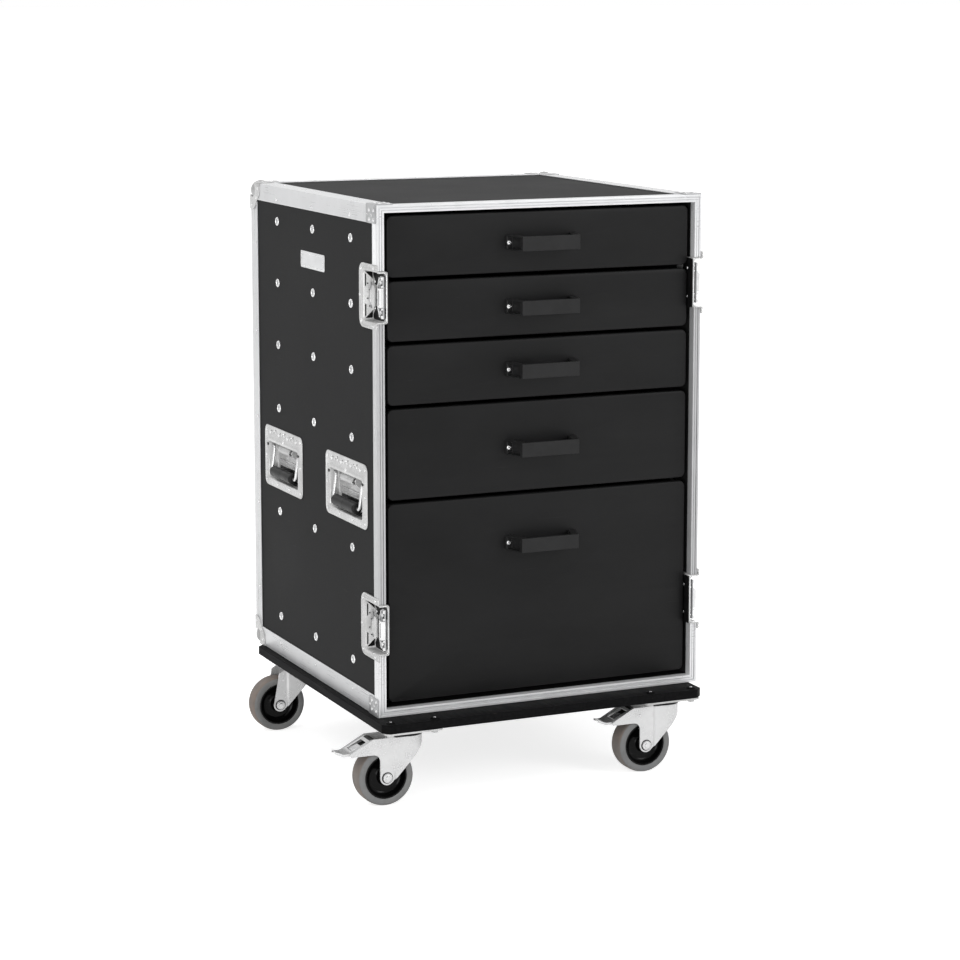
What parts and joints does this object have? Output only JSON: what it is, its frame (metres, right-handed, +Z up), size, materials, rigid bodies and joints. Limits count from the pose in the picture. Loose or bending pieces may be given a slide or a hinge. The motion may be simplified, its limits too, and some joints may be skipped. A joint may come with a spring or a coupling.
{
  "type": "tool flight case",
  "caption": "Upright drawer flight case in aluminium-edged black laminate, on a castor board, with stacked drawers, recessed side handles and butterfly latches.",
  "frame": {"origin": "on the floor, under the middle of the overall box", "axes": "+Z up, -Y towards the open front with the drawers, +X towards the case's right side as seen from the front"},
  "size_m": [0.693, 0.666, 1.0096],
  "materials": {
    "panel_laminate": "black laminate on plywood, satin, lightly textured",
    "frame_aluminium": "bright extruded aluminium",
    "edge_aluminium": "extruded aluminium, lightly worn",
    "board_black": "black painted plywood",
    "castor_zinc": "zinc-plated pressed steel",
    "dish_zinc": "zinc-plated pressed steel",
    "drawer_black": "satin black laminate on plywood",
    "pull_plastic": "moulded black plastic",
    "wheel_rubber": "grey rubber tyre on a black moulded hub",
    "grip_rubber": "black rubber grip on a plated rod",
    "latch_steel": "zinc-plated steel"
  },
  "bodies": {
    "case": {"left_side_panel": "panel_laminate", "right_side_panel": "panel_laminate", "top_panel": "panel_laminate", "bottom_panel": "panel_laminate", "back_panel": "panel_laminate", "front_frame_top": "frame_aluminium", "front_frame_bottom": "frame_aluminium", "front_frame_left": "frame_aluminium", "front_frame_right": "frame_aluminium", "edge_angles": "edge_aluminium", "castor_board": "board_black", "castor_plate_front_left": "castor_zinc", "castor_plate_front_right": "castor_zinc", "castor_plate_rear_left": "castor_zinc", "castor_plate_rear_right": "castor_zinc", "handle_dish_front_left": "dish_zinc", "handle_dish_rear_left": "dish_zinc", "handle_dish_front_right": "dish_zinc", "handle_dish_rear_right": "dish_zinc", "latch_dish_lower_left": "dish_zinc", "latch_dish_upper_left": "dish_zinc", "latch_dish_lower_right": "dish_zinc", "latch_dish_upper_right": "dish_zinc"},
    "drawer_1": {"drawer_1": "drawer_black", "drawer_pull_1": "pull_plastic"},
    "drawer_2": {"drawer_2": "drawer_black", "drawer_pull_2": "pull_plastic"},
    "drawer_3": {"drawer_3": "drawer_black", "drawer_pull_3": "pull_plastic"},
    "drawer_4": {"drawer_4": "drawer_black", "drawer_pull_4": "pull_plastic"},
    "drawer_5": {"drawer_5": "drawer_black", "drawer_pull_5": "pull_plastic"},
    "fork_front_left": {"castor_fork_front_left": "castor_zinc"},
    "fork_front_right": {"castor_fork_front_right": "castor_zinc"},
    "fork_rear_left": {"castor_fork_rear_left": "castor_zinc"},
    "fork_rear_right": {"castor_fork_rear_right": "castor_zinc"},
    "wheel_front_left": {"wheel_front_left": "wheel_rubber"},
    "wheel_front_right": {"wheel_front_right": "wheel_rubber"},
    "wheel_rear_left": {"wheel_rear_left": "wheel_rubber"},
    "wheel_rear_right": {"wheel_rear_right": "wheel_rubber"},
    "pedal_front_left": {"brake_pedal_front_left": "castor_zinc"},
    "pedal_front_right": {"brake_pedal_front_right": "castor_zinc"},
    "bail_front_left": {"handle_bail_front_left": "grip_rubber"},
    "bail_rear_left": {"handle_bail_rear_left": "grip_rubber"},
    "bail_front_right": {"handle_bail_front_right": "grip_rubber"},
    "bail_rear_right": {"handle_bail_rear_right": "grip_rubber"},
    "drum_lower_left": {"latch_drum_lower_left": "latch_steel"},
    "drum_upper_left": {"latch_drum_upper_left": "latch_steel"},
    "drum_lower_right": {"latch_drum_lower_right": "latch_steel"},
    "drum_upper_right": {"latch_drum_upper_right": "latch_steel"},
    "wing_lower_left": {"latch_wing_lower_left": "latch_steel"},
    "wing_upper_left": {"latch_wing_upper_left": "latch_steel"},
    "wing_lower_right": {"latch_wing_lower_right": "latch_steel"},
    "wing_upper_right": {"latch_wing_upper_right": "latch_steel"},
    "hook_lower_left": {"latch_hook_lower_left": "latch_steel"},
    "hook_upper_left": {"latch_hook_upper_left": "latch_steel"},
    "hook_lower_right": {"latch_hook_lower_right": "latch_steel"},
    "hook_upper_right": {"latch_hook_upper_right": "latch_steel"}
  },
  "joints": [
    {"name": "drawer_1_slide", "type": "slide", "parent": "case", "child": "drawer_1", "axis": [0, -1, 0], "range_m": [0, 0.4]},
    {"name": "drawer_2_slide", "type": "slide", "parent": "case", "child": "drawer_2", "axis": [0, -1, 0], "range_m": [0, 0.4]},
    {"name": "drawer_3_slide", "type": "slide", "parent": "case", "child": "drawer_3", "axis": [0, -1, 0], "range_m": [0, 0.4]},
    {"name": "drawer_4_slide", "type": "slide", "parent": "case", "child": "drawer_4", "axis": [0, -1, 0], "range_m": [0, 0.4]},
    {"name": "drawer_5_slide", "type": "slide", "parent": "case", "child": "drawer_5", "axis": [0, -1, 0], "range_m": [0, 0.4]},
    {"name": "swivel_front_left", "type": "hinge", "parent": "case", "child": "fork_front_left", "pos_m": [-0.2155, -0.2895, 0.12], "axis": [0, 0, 1], "continuous": true},
    {"name": "swivel_front_right", "type": "hinge", "parent": "case", "child": "fork_front_right", "pos_m": [0.2725, -0.2895, 0.12], "axis": [0, 0, 1], "continuous": true},
    {"name": "swivel_rear_left", "type": "hinge", "parent": "case", "child": "fork_rear_left", "pos_m": [-0.2155, 0.228, 0.12], "axis": [0, 0, 1], "continuous": true},
    {"name": "swivel_rear_right", "type": "hinge", "parent": "case", "child": "fork_rear_right", "pos_m": [0.2725, 0.228, 0.12], "axis": [0, 0, 1], "continuous": true},
    {"name": "roll_front_left", "type": "hinge", "parent": "fork_front_left", "child": "wheel_front_left", "pos_m": [-0.2585, -0.2895, 0.05], "axis": [0, 1, 0], "continuous": true},
    {"name": "roll_front_right", "type": "hinge", "parent": "fork_front_right", "child": "wheel_front_right", "pos_m": [0.2295, -0.2895, 0.05], "axis": [0, 1, 0], "continuous": true},
    {"name": "roll_rear_left", "type": "hinge", "parent": "fork_rear_left", "child": "wheel_rear_left", "pos_m": [-0.2585, 0.228, 0.05], "axis": [0, 1, 0], "continuous": true},
    {"name": "roll_rear_right", "type": "hinge", "parent": "fork_rear_right", "child": "wheel_rear_right", "pos_m": [0.2295, 0.228, 0.05], "axis": [0, 1, 0], "continuous": true},
    {"name": "brake_front_left", "type": "hinge", "parent": "fork_front_left", "child": "pedal_front_left", "pos_m": [-0.2719, -0.2895, 0.1075], "axis": [0, -1, 0], "range_deg": [0, 12]},
    {"name": "brake_front_right", "type": "hinge", "parent": "fork_front_right", "child": "pedal_front_right", "pos_m": [0.2161, -0.2895, 0.1075], "axis": [0, -1, 0], "range_deg": [0, 12]},
    {"name": "bail_front_left_swing", "type": "hinge", "parent": "case", "child": "bail_front_left", "pos_m": [-0.2537, -0.1365, 0.5291], "axis": [0, 1, 0], "range_deg": [0, 90], "stiffness_Nm_per_rad": 0.3, "springref_deg": -28.65},
    {"name": "bail_rear_left_swing", "type": "hinge", "parent": "case", "child": "bail_rear_left", "pos_m": [-0.2537, 0.1715, 0.5291], "axis": [0, 1, 0], "range_deg": [0, 90], "stiffness_Nm_per_rad": 0.3, "springref_deg": -28.65},
    {"name": "bail_front_right_swing", "type": "hinge", "parent": "case", "child": "bail_front_right", "pos_m": [0.3357, -0.1365, 0.5291], "axis": [0, -1, 0], "range_deg": [0, 90], "stiffness_Nm_per_rad": 0.3, "springref_deg": -28.65},
    {"name": "bail_rear_right_swing", "type": "hinge", "parent": "case", "child": "bail_rear_right", "pos_m": [0.3357, 0.1715, 0.5291], "axis": [0, -1, 0], "range_deg": [0, 90], "stiffness_Nm_per_rad": 0.3, "springref_deg": -28.65},
    {"name": "drum_lower_left_turn", "type": "hinge", "parent": "case", "child": "drum_lower_left", "pos_m": [-0.25, -0.246, 0.2956], "axis": [-1, 0, 0], "range_deg": [0, 180]},
    {"name": "drum_upper_left_turn", "type": "hinge", "parent": "case", "child": "drum_upper_left", "pos_m": [-0.25, -0.246, 0.8536], "axis": [-1, 0, 0], "range_deg": [0, 180]},
    {"name": "drum_lower_right_turn", "type": "hinge", "parent": "case", "child": "drum_lower_right", "pos_m": [0.332, -0.246, 0.2956], "axis": [1, 0, 0], "range_deg": [0, 180]},
    {"name": "drum_upper_right_turn", "type": "hinge", "parent": "case", "child": "drum_upper_right", "pos_m": [0.332, -0.246, 0.8536], "axis": [1, 0, 0], "range_deg": [0, 180]},
    {"name": "wing_lower_left_fold", "type": "hinge", "parent": "drum_lower_left", "child": "wing_lower_left", "pos_m": [-0.256, -0.246, 0.2956], "axis": [0, 0, -1], "range_deg": [0, 90]},
    {"name": "wing_upper_left_fold", "type": "hinge", "parent": "drum_upper_left", "child": "wing_upper_left", "pos_m": [-0.256, -0.246, 0.8536], "axis": [0, 0, -1], "range_deg": [0, 90]},
    {"name": "wing_lower_right_fold", "type": "hinge", "parent": "drum_lower_right", "child": "wing_lower_right", "pos_m": [0.338, -0.246, 0.2956], "axis": [0, 0, 1], "range_deg": [0, 90]},
    {"name": "wing_upper_right_fold", "type": "hinge", "parent": "drum_upper_right", "child": "wing_upper_right", "pos_m": [0.338, -0.246, 0.8536], "axis": [0, 0, 1], "range_deg": [0, 90]},
    {"name": "hook_lower_left_slide", "type": "slide", "parent": "case", "child": "hook_lower_left", "axis": [0, -1, 0], "range_m": [0, 0.008]},
    {"name": "hook_upper_left_slide", "type": "slide", "parent": "case", "child": "hook_upper_left", "axis": [0, -1, 0], "range_m": [0, 0.008]},
    {"name": "hook_lower_right_slide", "type": "slide", "parent": "case", "child": "hook_lower_right", "axis": [0, -1, 0], "range_m": [0, 0.008]},
    {"name": "hook_upper_right_slide", "type": "slide", "parent": "case", "child": "hook_upper_right", "axis": [0, -1, 0], "range_m": [0, 0.008]}
  ],
  "couplings": [
    {"joint": "hook_lower_left_slide", "follows": "drum_lower_left_turn", "m_per_rad": 0.002546},
    {"joint": "hook_upper_left_slide", "follows": "drum_upper_left_turn", "m_per_rad": 0.002546},
    {"joint": "hook_lower_right_slide", "follows": "drum_lower_right_turn", "m_per_rad": 0.002546},
    {"joint": "hook_upper_right_slide", "follows": "drum_upper_right_turn", "m_per_rad": 0.002546}
  ]
}
